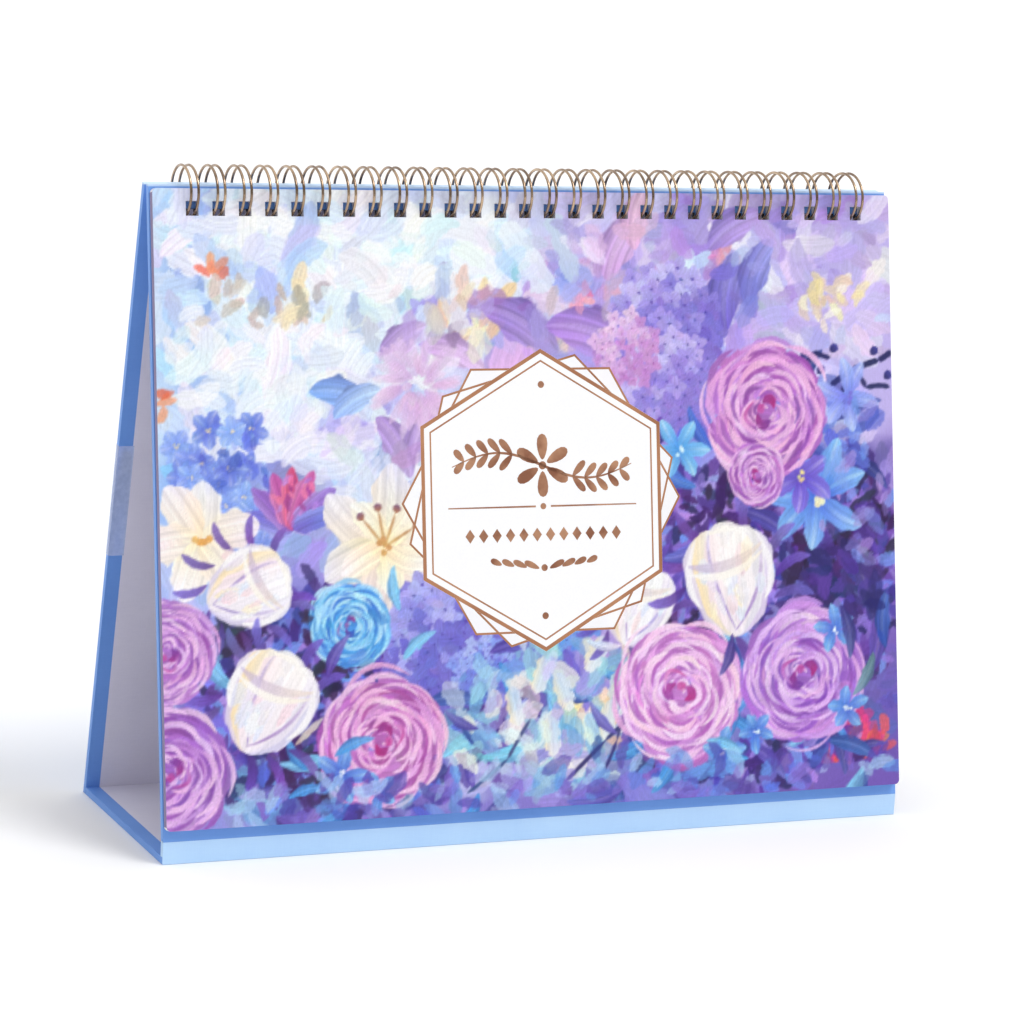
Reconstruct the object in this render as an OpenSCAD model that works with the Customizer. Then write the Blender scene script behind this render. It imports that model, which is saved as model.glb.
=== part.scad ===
// Flip desk calendar: an A-frame stand of paper-wrapped boards with twin-loop bound leaves.
// +X runs along the binding, -Y is the side the cover leaf faces, +Z is up, units are millimetres.
// The origin is the middle of the footprint, on the surface that the stand rests on.

/* [Stand] */
// Width of the boards along the binding
stand_w = 254; // [250:1:258]
// Depth of the footprint, outer face to outer face
base_d = 82.6; // [78:0.2:88]
// Height of the boards' top edges above the surface
stand_h = 202.5; // [201.5:0.5:203]
// Height of the upright spine under the front board
spine_h = 7; // [6:0.5:8]
// Gap between the two boards at their top edges
top_gap = 1.5; // [1:0.1:2]
// Thickness of the chipboard
board_t = 1.8; // [1.5:0.1:1.8]
// Thickness of the paper glued around and inside the boards
paper_t = 0.2; // [0.15:0.05:0.2]
// Width of the cover paper turned in over a board's edges
turn_in = 4.6; // [4:0.1:7]
// Gap left between two boards where the cover paper creases
crease_gap = 1.2; // [0.8:0.1:1.6]

/* [Leaves] */
// Width of a leaf
leaf_w = 253.6; // [250:0.2:254]
// Height of a leaf
leaf_h = 194.2; // [190:0.2:194.4]
// Thickness of a leaf
leaf_t = 0.15; // [0.1:0.01:0.16]
// Distance from one leaf to the next
leaf_pitch = 0.19; // [0.18:0.01:0.2]
// Gap between the front board and the last leaf
leaf_gap = 0.6; // [0.6:0.05:0.7]
// Height of the leaves' lower edges above the crease at the front board's foot
leaf_foot = 3.5; // [3.3:0.1:3.7]
// Radius of a leaf's corners
leaf_corner = 1.5; // [1:0.5:3]

/* [Binding] */
// Number of holes and twin loops
loop_n = 28; // [26:2:28]
// Distance from one hole to the next: three to the inch
hole_pitch = 8.4667; // [8.4:0.0001:8.4667]
// Width of a punched hole
hole_w = 4; // [4:0.1:4.2]
// Height of a punched hole
hole_h = 4.5; // [4.5:0.1:4.6]
// Height of a leaf's hole centres below the leaf's top edge
hole_drop = 6.05; // [6:0.05:6.1]
// Radius of a loop, to the middle of the wire
loop_r = 8; // [8:0.1:8]
// Height of the loops' common axis
loop_z = 200; // [200:0.1:200]
// Diameter of the wire
wire_d = 0.95; // [0.8:0.05:1]
// Distance between the two wires of a loop
twin = 2.35; // [2.2:0.05:2.4]
// Half angle between a loop's tip and the wire's straight run, where the loop closes
seam_half = 5; // [4.5:0.5:8]

/* [Edge tab] */
// Distance up the back board from its foot to the tab's lower end
tab_low = 84; // [60:1:100]
// Length of the tab along the board's edge
tab_len = 37; // [30:1:45]
// Distance that the tab reaches over each face of the board
tab_reach = 5; // [3:0.5:8]
// Thickness of the tab's film
tab_t = 0.12; // [0.1:0.01:0.15]

/* [Hidden] */
MONTHS = ["january", "february", "march", "april", "may", "june", "july",
          "august", "september", "october", "november", "december"];
LEAVES = concat(["cover_leaf"], [for (m = MONTHS) str(m, "_leaf")]);
$fn = 48;

wall_t = board_t + 2 * paper_t;
lean = atan((base_d - top_gap - 2 * wall_t) / (2 * stand_h - spine_h));
front_y = -base_d / 2;
back_y = base_d / 2;
front_len = (stand_h - spine_h) / cos(lean);
back_len = stand_h / cos(lean);
// Depth at which the boards' two top edges are equally far from the middle of the gap
loop_y = (front_y + (stand_h - spine_h) * tan(lean) + back_y - stand_h * tan(lean)) / 2;
// Distances up the panels to the middle of the holes, where the loops pass the middle of each wall
front_hole_u = hole_u(spine_h, loop_y - front_y, front_len);
back_hole_u = hole_u(0, back_y - loop_y, back_len);
// Where the back panel's inner face meets the base's top face
base_rear = back_y - wall_t / cos(lean) - wall_t * tan(lean);
// Lower end of a leaning panel's outer sheet, and of its edges, that clears a level surface at its foot
sheet_foot = paper_t * tan(lean);
edge_foot = wall_t * tan(lean);
// The straight runs are rolled a little thinner, and lie inside the loops' ends
run_d = wire_d - 0.05;
run_cover = asin(wire_d / 2 / loop_r);
// How far a punch or cutter reaches past what it cuts
past = 1;

// Distance up a leaning panel to where a loop crosses the middle of its wall. The panel's outer face
// starts at height foot_z, at a distance reach from the loops' axis plane.
function hole_u(foot_z, reach, len) =
    let (a = reach * cos(lean) - wall_t / 2 - (loop_z - foot_z) * sin(lean))
    (loop_z - foot_z) * cos(lean) + reach * sin(lean) - sqrt(loop_r * loop_r - a * a);

// Front panel's frame: X along the binding, Y into the wall from its outer face, Z up the panel
module on_front() {
    translate([0, front_y, spine_h]) rotate([-lean, 0, 0]) children();
}

// Back panel's frame: X along the binding, Y out of the wall, Z up the panel; the outer face is at Y = 0
module on_back() {
    translate([0, back_y, 0]) rotate([lean, 0, 0]) children();
}

// Box of width w centred on X, from [y0, z0] to [y1, z1]
module slab(w, y0, z0, y1, z1) {
    translate([-w / 2, y0, z0]) cube([w, y1 - y0, z1 - z0]);
}

// Prisms that punch the row of holes through a wall, centred at height z
module punch(z) {
    for (i = [0 : loop_n - 1])
        translate([(i - (loop_n - 1) / 2) * hole_pitch, 0, z])
            cube([hole_w, 2 * (wall_t + past), hole_h], center = true);
}

// Cover paper on one panel of the given length: outer sheet, wrapped side edges and turned-in borders.
// s is 1 where the wall runs towards +Y from its outer face and -1 where it runs towards -Y.
// sheet is where the outer sheet starts, and foot is where the edges and borders start.
module wrap(len, s, sheet, foot, top_turned) {
    for (x = [-1, 1]) {
        edge = x * (stand_w - paper_t) / 2;
        border = x * (stand_w - turn_in) / 2;
        translate([edge, 0, 0]) sided(paper_t, s, 0, foot, wall_t, len);
        translate([border, 0, 0]) sided(turn_in, s, wall_t - paper_t, foot, wall_t, len);
    }
    sided(stand_w, s, 0, sheet, paper_t, len);
    if (top_turned) {
        sided(stand_w, s, 0, len - paper_t, wall_t, len);
        sided(stand_w, s, wall_t - paper_t, len - turn_in, wall_t, len);
    }
}

// Slab whose depth is counted along s * Y
module sided(w, s, y0, z0, y1, z1) {
    slab(w, min(s * y0, s * y1), z0, max(s * y0, s * y1), z1);
}

module front_board() {
    color("tan") on_front() difference() {
        slab(stand_w - 2 * paper_t, paper_t, crease_gap, wall_t - paper_t, front_len - paper_t);
        punch(front_hole_u);
    }
}

module back_board() {
    color("tan") on_back() difference() {
        slab(stand_w - 2 * paper_t, paper_t - wall_t, crease_gap, -paper_t, back_len - paper_t);
        punch(back_hole_u);
    }
}

module spine_board() {
    color("tan") slab(stand_w - 2 * paper_t, front_y + paper_t, wall_t + crease_gap / 2,
                      front_y + wall_t - paper_t, spine_h - crease_gap / 2);
}

// Half of the base, from y0 to y1
module base_half(y0, y1) {
    color("tan") slab(stand_w - 2 * paper_t, y0, paper_t, y1, wall_t - paper_t);
}

module base_board_front() {
    base_half(front_y + wall_t, -crease_gap / 2);
}

module base_board_rear() {
    base_half(crease_gap / 2, base_rear - crease_gap / 2);
}

module front_wrap() {
    color("cornflowerblue") on_front() difference() {
        wrap(front_len, 1, sheet_foot, edge_foot, true);
        punch(front_hole_u);
    }
}

module back_wrap() {
    color("cornflowerblue") on_back() difference() {
        wrap(back_len, -1, sheet_foot, edge_foot + paper_t / cos(lean), true);
        punch(back_hole_u);
    }
}

// The upright strip of cover paper at the front, from the surface to the front board's foot
module spine_wrap() {
    color("lightskyblue") translate([0, front_y, 0]) wrap(spine_h, 1, 0, wall_t, false);
}

// The underside, which runs on under the spine and the back panel, with the base's wrapped side edges
// and turned-in borders
module base_wrap() {
    sheet_end = back_y - paper_t / cos(lean);
    color("cornflowerblue") {
        slab(stand_w, front_y + paper_t, 0, sheet_end, paper_t);
        for (x = [-1, 1]) {
            translate([x * (stand_w - paper_t) / 2, 0, 0])
                slab(paper_t, front_y + paper_t, 0, base_rear, wall_t);
            translate([x * (stand_w - turn_in) / 2, 0, 0])
                slab(turn_in, front_y + wall_t, wall_t - paper_t, base_rear, wall_t);
        }
    }
}

module front_liner() {
    color("lavender") on_front() difference() {
        slab(stand_w - 2 * turn_in, wall_t - paper_t, crease_gap, wall_t, front_len - turn_in);
        punch(front_hole_u);
    }
}

module back_liner() {
    color("lavender") on_back() difference() {
        slab(stand_w - 2 * turn_in, -wall_t, wall_t, paper_t - wall_t, back_len - turn_in);
        punch(back_hole_u);
    }
}

// Lining of the base, turned up over the spine
module base_liner() {
    inner_y = front_y + wall_t;
    color("lavender") {
        slab(stand_w - 2 * turn_in, inner_y - paper_t, wall_t - paper_t, base_rear, wall_t);
        slab(stand_w - 2 * turn_in, inner_y - paper_t, wall_t - paper_t, inner_y, spine_h);
    }
}

// Clear film folded round the back board's left edge
module edge_tab() {
    color("aliceblue", 0.5) on_back() translate([0, 0, tab_low]) difference() {
        translate([-stand_w / 2 - tab_t, -wall_t - tab_t, 0])
            cube([tab_reach + tab_t, wall_t + 2 * tab_t, tab_len]);
        translate([-stand_w / 2, -wall_t, -past]) cube([tab_reach + past, wall_t, tab_len + 2 * past]);
    }
}

// A straight run of the wire along X between two places on a loop, at the given angle round the axis
module run(x0, x1, angle) {
    translate([x0, loop_y + loop_r * cos(angle), loop_z + loop_r * sin(angle)])
        rotate([0, 90, 0]) cylinder(h = x1 - x0, d = run_d);
}

// One wire of a loop: a circle round the axis, open at its lowest point between the ends that cover the runs
module loop_wire(x) {
    open = seam_half - run_cover;
    translate([x, loop_y, loop_z]) rotate([90, 0, 90]) rotate([0, 0, open - 90])
        rotate_extrude(angle = 360 - 2 * open) translate([loop_r, 0]) circle(d = wire_d);
}

// The whole binding is one wire: twin loops closed by tips, joined by straight runs on the seam's other side
module wire_binding() {
    color("rosybrown") for (i = [0 : loop_n - 1]) {
        x = (i - (loop_n - 1) / 2) * hole_pitch;
        loop_wire(x - twin / 2);
        loop_wire(x + twin / 2);
        run(x - twin / 2, x + twin / 2, seam_half - 90);
        if (i < loop_n - 1) run(x + twin / 2, x + hole_pitch - twin / 2, -seam_half - 90);
    }
}

// Rounded outline of a leaf, standing on the X axis
module leaf_outline() {
    r = leaf_corner;
    translate([-leaf_w / 2, r]) square([leaf_w, leaf_h - 2 * r]);
    translate([r - leaf_w / 2, 0]) square([leaf_w - 2 * r, leaf_h]);
    for (x = [-1, 1], y = [0, 1])
        translate([x * (leaf_w / 2 - r), r + y * (leaf_h - 2 * r)]) circle(r = r);
}

// Leaf number k counted from the cover, which lies furthest from the board
module leaf(k) {
    lift = leaf_gap + (len(LEAVES) - 1 - k) * leaf_pitch;
    on_front() translate([0, -lift, leaf_foot]) difference() {
        rotate([90, 0, 0]) linear_extrude(leaf_t) leaf_outline();
        punch(leaf_h - hole_drop);
    }
}

module month_leaf(k) {
    color("ivory") leaf(k);
}

module cover_leaf() {
    color("plum") leaf(0);
}

front_board();
spine_board();
base_board_front();
base_board_rear();
back_board();
front_wrap();
spine_wrap();
base_wrap();
back_wrap();
front_liner();
base_liner();
back_liner();
edge_tab();
wire_binding();
cover_leaf();
for (k = [1 : len(MONTHS)])
    month_leaf(k);
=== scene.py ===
import math

import bmesh
import bpy
import numpy as np
from mathutils import Matrix, Vector


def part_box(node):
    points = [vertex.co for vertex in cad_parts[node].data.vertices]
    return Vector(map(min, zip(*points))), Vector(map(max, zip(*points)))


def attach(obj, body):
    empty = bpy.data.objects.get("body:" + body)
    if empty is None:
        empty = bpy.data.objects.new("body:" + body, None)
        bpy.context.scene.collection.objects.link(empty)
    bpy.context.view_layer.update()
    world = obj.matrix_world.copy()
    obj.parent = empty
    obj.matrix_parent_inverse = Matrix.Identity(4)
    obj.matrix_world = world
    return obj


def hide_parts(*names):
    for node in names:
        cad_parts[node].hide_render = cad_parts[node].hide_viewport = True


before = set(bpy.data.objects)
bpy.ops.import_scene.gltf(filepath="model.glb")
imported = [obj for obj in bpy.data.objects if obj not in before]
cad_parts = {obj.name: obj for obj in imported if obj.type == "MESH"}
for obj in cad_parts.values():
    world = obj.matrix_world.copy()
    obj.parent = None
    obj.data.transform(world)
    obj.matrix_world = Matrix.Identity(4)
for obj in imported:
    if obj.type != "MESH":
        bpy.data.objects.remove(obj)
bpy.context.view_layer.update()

MM = 0.001
rng = np.random.default_rng(26)

# ---------------------------------------------------------------- the leaning leaves' frame
MONTHS = ["january", "february", "march", "april", "may", "june", "july",
          "august", "september", "october", "november", "december"]
leaf_lo, leaf_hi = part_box("cover_leaf")
LEAF_T = 0.15 * MM
LEAN = math.atan2(leaf_hi.y - leaf_lo.y - LEAF_T, leaf_hi.z - leaf_lo.z)
LEAF_W = leaf_hi.x - leaf_lo.x
LEAF_H = (leaf_hi.z - leaf_lo.z - LEAF_T * math.sin(LEAN)) / math.cos(LEAN)
HOLES = 28
HOLE_PITCH = 8.4667 * MM
HOLE_W = 4.0 * MM
HOLE_H = 4.5 * MM
HOLE_DROP = 6.05 * MM
CORNER = 1.5 * MM
UP = Vector((0, math.sin(LEAN), math.cos(LEAN)))
OUT = Vector((0, -math.cos(LEAN), math.sin(LEAN)))


def leaf_origin(node):
    """Middle of a leaf's lower front edge."""
    lo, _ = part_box(node)
    return Vector((0, lo.y, lo.z + LEAF_T * math.sin(LEAN)))


def on_leaf(origin, x, u, out=0.0):
    """The point x from the leaf's middle, u up it and out from its front."""
    return origin + Vector((x, 0, 0)) + UP * u + OUT * out


# ---------------------------------------------------------------- materials
def linear(c):
    """Linear colour from 0-255 sRGB values."""
    c = c / 255
    return np.where(c <= 0.04045, c / 12.92, ((c + 0.055) / 1.055) ** 2.4)


def srgb(r, g, b):
    return tuple(float(x) for x in linear(np.array([r, g, b], float)))


NOISE_LOW, NOISE_HIGH = 0.3, 0.7


class Nodes:
    """Short calls for building one material's nodes."""

    def __init__(self, name):
        self.m = bpy.data.materials.new(name)
        self.m.use_nodes = True
        self.t = self.m.node_tree
        self.t.nodes.clear()
        self.bsdf = self.node("BsdfPrincipled")
        self.node("OutputMaterial", self.bsdf.outputs[0])

    def put(self, socket, value):
        """Links a socket to another's output, or sets its own number or colour."""
        if isinstance(value, bpy.types.NodeSocket):
            self.t.links.new(value, socket)
        elif value is not None:
            if hasattr(socket.default_value, "__len__"):
                value = tuple(value)
                value += (1.0,) * (len(socket.default_value) - len(value))
            socket.default_value = value

    def set(self, **values):
        """Sets inputs of the main shader by name, with _ for a space."""
        for name, value in values.items():
            self.put(self.bsdf.inputs[name.replace("_", " ")], value)

    def node(self, kind, *values, **settings):
        """A new node with its settings made and its first inputs filled; None leaves an input alone."""
        n = self.t.nodes.new("ShaderNode" + kind)
        for name, value in settings.items():
            setattr(n, name, value)
        for socket, value in zip(n.inputs, values):
            self.put(socket, value)
        return n

    def math(self, op, *values):
        return self.node("Math", *values, operation=op).outputs[0]

    def noise(self, vector, scale, detail=3.0, rough=0.5):
        n = self.node("TexNoise", vector)
        for name, value in (("Scale", scale), ("Detail", detail), ("Roughness", rough)):
            n.inputs[name].default_value = value
        return n.outputs["Fac"]

    def mix(self, fac, a, b):
        n = self.node("Mix", fac, data_type="RGBA", clamp_result=False)
        self.put(n.inputs[6], a)
        self.put(n.inputs[7], b)
        return n.outputs[2]

    def range(self, value, lo, hi, to_lo=0.0, to_hi=1.0):
        return self.node("MapRange", value, lo, hi, to_lo, to_hi).outputs[0]

    def spread(self, noise, to_lo=0.0, to_hi=1.0):
        """From to_lo to to_hi over the values that a noise mostly takes."""
        return self.range(noise, NOISE_LOW, NOISE_HIGH, to_lo, to_hi)

    def position(self):
        return self.node("TexCoord").outputs["Object"]

    def scaled(self, vector, x, y, z):
        return self.node("Mapping", vector, None, None, (x, y, z)).outputs[0]

    def split(self, vector):
        return self.node("SeparateXYZ", vector).outputs

    def dot(self, vector, axis):
        return self.node("VectorMath", vector, axis, operation="DOT_PRODUCT").outputs["Value"]

    def times(self, vector, factor):
        n = self.node("VectorMath", vector, operation="SCALE")
        self.put(n.inputs["Scale"], factor)
        return n.outputs[0]

    def attribute(self, name):
        return self.node("Attribute", attribute_name=name).outputs["Color"]

    def bump(self, height, strength, distance):
        n = self.node("Bump")
        self.put(n.inputs["Height"], height)
        n.inputs["Strength"].default_value = strength
        n.inputs["Distance"].default_value = distance
        self.put(self.bsdf.inputs["Normal"], n.outputs[0])


# how far below a board's top the painted highlight starts, how much its lower edge wavers, and how far it
# fades in
TOP_EDGE_HIGHLIGHT_BELOW, TOP_EDGE_HIGHLIGHT_WAVE, TOP_EDGE_HIGHLIGHT_FADE = 0.6 * MM, 0.4 * MM, 0.5 * MM


def paper_material(name, light, dark, rough, fibre=0.35, highlight_from=None, lit=None):
    """Coated or plain paper: mottled colour, fine fibres running both ways, and a soft bump. Above a given
    height it is painted lighter, towards lit: a painted highlight where a board's top edge catches the light."""
    k = Nodes(name)
    p = k.position()
    cloud = k.noise(p, 38.0, 2.0)
    along = k.noise(k.scaled(p, 260, 2600, 2600), 1.0, 1.0)
    across = k.noise(k.scaled(p, 2600, 2600, 260), 1.0, 1.0)
    fibres = k.math("MULTIPLY", k.math("ADD", along, across), 0.5)
    tone = k.math("ADD", k.math("MULTIPLY", cloud, 1 - fibre), k.math("MULTIPLY", fibres, fibre))
    colour = k.mix(k.spread(tone), dark, light)
    if lit is not None:
        # painted highlight: lighter towards lit above the given height, where the top edge catches the light
        height = k.math("ADD", k.split(p)[2], k.math("MULTIPLY", cloud, TOP_EDGE_HIGHLIGHT_WAVE))
        colour = k.mix(k.range(height, highlight_from, highlight_from + TOP_EDGE_HIGHLIGHT_FADE), colour, lit)
    k.set(Base_Color=colour, Roughness=k.spread(fibres, rough - 0.06, rough + 0.06),
          Specular_IOR_Level=0.35)
    k.bump(fibres, 0.35, 0.04 * MM)
    return k


board_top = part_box("front_wrap")[1].z
# the wraps' top edges carry a painted highlight, lighter where they catch the light
blue_paper = paper_material("blue_cover_paper", srgb(120, 168, 240), srgb(106, 154, 230), 0.5,
                            highlight_from=board_top - TOP_EDGE_HIGHLIGHT_BELOW, lit=srgb(206, 230, 255))
# the hinge strip is the same blue paper painted lighter: painted light for the brightness it catches facing
# the lamps
painted_lit_strip_paper = paper_material("blue_cover_paper_painted_lit", srgb(190, 223, 255), srgb(178, 213, 251), 0.45)
liner_paper = paper_material("lilac_liner_paper", srgb(234, 231, 244), srgb(222, 219, 234), 0.7)
# the leaves' white cut edges are painted darker lilac: painted shade along the leaf block's sides and in its
# holes
shaded_edge_paper = paper_material("leaf_cut_edge_painted_shade", srgb(158, 146, 180), srgb(126, 114, 154), 0.8)
leaf_paper = paper_material("leaf_paper", srgb(250, 249, 246), srgb(243, 242, 240), 0.55, 0.25)
# the chipboard's own grey, painted darker so that the board cores seen through the ring holes carry painted
# shade
chipboard_with_painted_shade = paper_material("grey_chipboard_darkened_as_shade", srgb(96, 94, 108), srgb(70, 68, 84), 0.9, 0.6)


def wire_material():
    """Lacquered champagne wire with drawing lines and a little grime in the lacquer."""
    k = Nodes("binding_wire_lacquer")
    p = k.position()
    fine = k.noise(k.scaled(p, 900, 900, 900), 1.0, 3.0)
    patch = k.noise(p, 120.0, 2.0)
    colour = k.mix(k.range(patch, 0.35, 0.65), srgb(138, 116, 98), srgb(196, 170, 142))
    k.set(Base_Color=colour, Roughness=k.spread(fine, 0.14, 0.26), Metallic=1.0)
    k.bump(fine, 0.15, 0.02 * MM)
    return k


def film_material():
    """Frosted clear film with a faint blue glow: painted light that brightens it where it lies in shade."""
    k = Nodes("frosted_film")
    p = k.position()
    haze = k.noise(p, 700.0, 3.0)
    # the faint blue emission is painted light, standing in for the light the film catches
    k.set(Base_Color=k.mix(haze, srgb(206, 220, 255), srgb(226, 236, 255)),
          Roughness=k.spread(haze, 0.32, 0.45),
          Alpha=k.spread(haze, 0.46, 0.54), Emission_Color=(0.45, 0.6, 1.0), Emission_Strength=0.13)
    k.bump(haze, 0.1, 0.02 * MM)
    return k


wire_metal = wire_material()
film = film_material()


def paint(node_name, material):
    """Gives a CAD node its material."""
    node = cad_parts[node_name]
    node.data.materials.clear()
    node.data.materials.append(material.m)


for n in ("front_board", "spine_board", "base_board_front", "base_board_rear", "back_board"):
    paint(n, chipboard_with_painted_shade)
for n in ("front_wrap", "base_wrap", "back_wrap"):
    paint(n, blue_paper)
# the strip takes the lighter copy of the blue paper, with its painted light
paint("spine_wrap", painted_lit_strip_paper)
for n in ("front_liner", "base_liner", "back_liner"):
    paint(n, liner_paper)
paint("edge_tab", film)


# ---------------------------------------------------------------- mesh helpers
def place(name, data):
    """A new object in the scene."""
    o = bpy.data.objects.new(name, data)
    bpy.context.scene.collection.objects.link(o)
    return o


def mesh_object(name, verts, faces, material, smooth=False):
    me = bpy.data.meshes.new(name)
    me.from_pydata([tuple(v) for v in verts], [], [tuple(f) for f in faces])
    me.update()
    me.materials.append(material.m)
    if smooth:
        me.polygons.foreach_set("use_smooth", [True] * len(me.polygons))
    return place(name, me)


# ---------------------------------------------------------------- the cover's painting
# Everything here is in millimetres on the leaf: x from its middle, u up from its lower edge.
DOT = 0.4
ART_W, ART_H = LEAF_W / MM, LEAF_H / MM
COLS, ROWS = int(ART_W / DOT) + 2, int(ART_H / DOT) + 2
canvas = np.zeros((ROWS, COLS, 3))
grid_x = (np.arange(COLS) * DOT) - ART_W / 2
grid_u = np.arange(ROWS) * DOT


def rgb(*c):
    return np.array(c, float)


def soft_noise(cell, seed):
    """Smooth value noise, one value each dot, with features about cell millimetres wide."""
    r = np.random.default_rng(seed)
    step = cell / DOT
    v = r.random((int(ROWS / step) + 3, int(COLS / step) + 3))
    y, x = np.arange(ROWS) / step, np.arange(COLS) / step
    yi, xi = y.astype(int), x.astype(int)
    fy, fx = (y - yi)[:, None], (x - xi)[None, :]
    fy, fx = fy * fy * (3 - 2 * fy), fx * fx * (3 - 2 * fx)
    a, b = v[yi][:, xi], v[yi][:, xi + 1]
    c, d = v[yi + 1][:, xi], v[yi + 1][:, xi + 1]
    return (a * (1 - fx) + b * fx) * (1 - fy) + (c * (1 - fx) + d * fx) * fy


def window(x0, x1, u0, u1):
    """Rows and columns of the dots round a box in millimetres, or None if it misses the leaf."""
    c0 = max(0, int((x0 + ART_W / 2) / DOT) - 1)
    c1 = min(COLS, int((x1 + ART_W / 2) / DOT) + 3)
    r0, r1 = max(0, int(u0 / DOT) - 1), min(ROWS, int(u1 / DOT) + 3)
    return (r0, r1, c0, c1) if r1 > r0 and c1 > c0 else None


def stroke(points, width, c0, c1=None, alpha=0.9, taper=(0.35, 0.25), bristle=0.10, side=None, rough=0.25):
    """One brush stroke along two or three points. c0 to c1 is its colour from start to end, side a colour
    towards its left edge, and bristle how much its hairs differ."""
    p = np.array(points, float)
    if len(p) == 2:
        p = np.array([p[0], (p[0] + p[1]) / 2, p[1]])
    n = 6 + int(min(8, np.linalg.norm(np.diff(p, axis=0), axis=1).sum() / 3))
    t = np.linspace(0, 1, n)[:, None]
    line = (1 - t) ** 2 * p[0] + 2 * t * (1 - t) * p[1] + t ** 2 * p[2]
    half = width / 2
    low, high = line.min(0) - half, line.max(0) + half
    dots = window(low[0], high[0], low[1], high[1])
    if dots is None:
        return
    top, bottom, first, last = dots
    gx, gu = np.meshgrid(grid_x[first:last], grid_u[top:bottom])
    q = np.stack([gx, gu], -1)[..., None, :]
    a, d = line[:-1], np.diff(line, axis=0)
    k = np.clip(((q - a) * d).sum(-1) / np.maximum((d * d).sum(-1), 1e-9), 0, 1)
    off = q - (a + k[..., None] * d)
    dist2 = (off ** 2).sum(-1)
    i = dist2.argmin(-1)

    def nearest(values):
        return np.take_along_axis(values, i[..., None], -1)[..., 0]

    s = (i + nearest(k)) / (n - 1)
    cross = d[i, 0] * nearest(off[..., 1]) - d[i, 1] * nearest(off[..., 0])
    lateral = np.sign(cross) * np.sqrt(nearest(dist2)) / half
    grow = np.clip(s / max(taper[0], 1e-3), 0, 1) ** 0.6 * np.clip((1 - s) / max(taper[1], 1e-3), 0, 1) ** 0.6
    phase = rng.random(4) * 2 * math.pi
    hairs = (np.sin(lateral * 9 + phase[0]) + np.sin(lateral * 17 + phase[1] + 2.5 * s)
             + 0.8 * np.sin(lateral * 31 + phase[2] + s * 4)) / 2.8
    edge = grow * (1 + rough * 0.5 * (np.sin(s * 21 + phase[3]) * 0.4 + hairs * 0.6)) - np.abs(lateral)
    cover = np.clip(edge * half / DOT * 0.8 + 0.5, 0, 1) * (s >= 0)
    cover *= 1 - 0.5 * rough * np.clip(s - 0.55, 0, 1) * (hairs > 0.2)
    cover = (cover * alpha)[..., None]
    c0 = rgb(*c0)
    c1 = c0 if c1 is None else rgb(*c1)
    colour = c0 + (c1 - c0) * s[..., None]
    if side is not None:
        colour = colour + (rgb(*side) - colour) * np.clip(lateral * 0.9, 0, 1)[..., None]
    colour = np.clip(colour * (1 + bristle * hairs[..., None]), 0, 255)
    patch = canvas[top:bottom, first:last]
    patch += (colour - patch) * cover


def polar(x, u, angle, r):
    """The point r from x, u in the direction angle."""
    a = math.radians(angle)
    return x + r * math.cos(a), u + r * math.sin(a)


def bowed(start, end, angle, off):
    """The middle of a line that runs at an angle, moved off it to the left."""
    return polar((start[0] + end[0]) / 2, (start[1] + end[1]) / 2, angle + 90, off)


def vary(c, amount=10.0):
    """A colour a little off c, as paint is on a brush."""
    return tuple(np.clip(rgb(*c) + rng.normal(0, amount, 3) * 0.6 + rng.normal(0, amount) * 0.5, 0, 255))


def near(c, d, share):
    """The colour a share of the way from c to d."""
    return tuple(rgb(*c) + (rgb(*d) - rgb(*c)) * share)


WHITE = (250, 248, 246)
NAVY = (34, 32, 92)
CRIMSON = (186, 30, 112)
# each ring of a rose: its share of the radius, its petals, and half the angle that a petal spans
ROSE_RINGS = ((0.93, 8, 24), (0.74, 7, 27), (0.56, 6, 31), (0.40, 5, 37), (0.26, 4, 46))


def wash(x, u, rx, ru, c, alpha=0.8, seed=1):
    """A soft cloud of colour with a ragged edge."""
    gx, gu = np.meshgrid(grid_x, grid_u)
    d = np.sqrt(((gx - x) / rx) ** 2 + ((gu - u) / ru) ** 2)
    d = d + (soft_noise(11, seed) - 0.5) * 0.7 + (soft_noise(4, seed + 50) - 0.5) * 0.25
    k = np.clip((1.05 - d) / 0.6, 0, 1)[..., None] * alpha
    canvas[:] = canvas + (rgb(*c) - canvas) * k


def dabs(x, u, rx, ru, colours, count, size, angle, spread=50.0, alpha=0.8, curve=0.25, length=2.2):
    """Loose strokes scattered over an ellipse."""
    for _ in range(count):
        a, r = rng.random() * 2 * math.pi, math.sqrt(rng.random())
        px, pu = x + rx * r * math.cos(a), u + ru * r * math.sin(a)
        w = size * (0.6 + 0.8 * rng.random())
        turn = angle + rng.normal(0, spread)
        run = w * length * (0.7 + 0.7 * rng.random())
        e = polar(px, pu, turn, run)
        m = bowed((px, pu), e, turn, run * curve * rng.normal())
        c = vary(colours[rng.integers(len(colours))], 8)
        stroke([(px, pu), m, e], w, c, vary(c, 9), alpha * (0.75 + 0.25 * rng.random()), rough=0.5)


def restroke(count, size, x0, x1, u0, u1, jitter=8, alpha=0.7, length=2.4, seed=9):
    """Strokes that pick up the colour beneath them and follow one slow swirl, as a loaded brush does."""
    flow = soft_noise(46, seed) * 540 - 90
    for _ in range(count):
        x, u = rng.uniform(x0, x1), rng.uniform(u0, u1)
        i = min(max(int(u / DOT), 0), ROWS - 1)
        j = min(max(int((x + ART_W / 2) / DOT), 0), COLS - 1)
        w = size * (0.55 + 0.9 * rng.random())
        a = flow[i, j] + rng.normal(0, 16)
        start, end = polar(x, u, a + 180, w * length / 2), polar(x, u, a, w * length / 2)
        mid = polar(x, u, a + 90, w * 0.5 * rng.normal())
        c = vary(tuple(canvas[i, j]), jitter)
        stroke([start, mid, end], w, c, vary(c, jitter), alpha, (0.25, 0.3), 0.07, None, 0.5)


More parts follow.
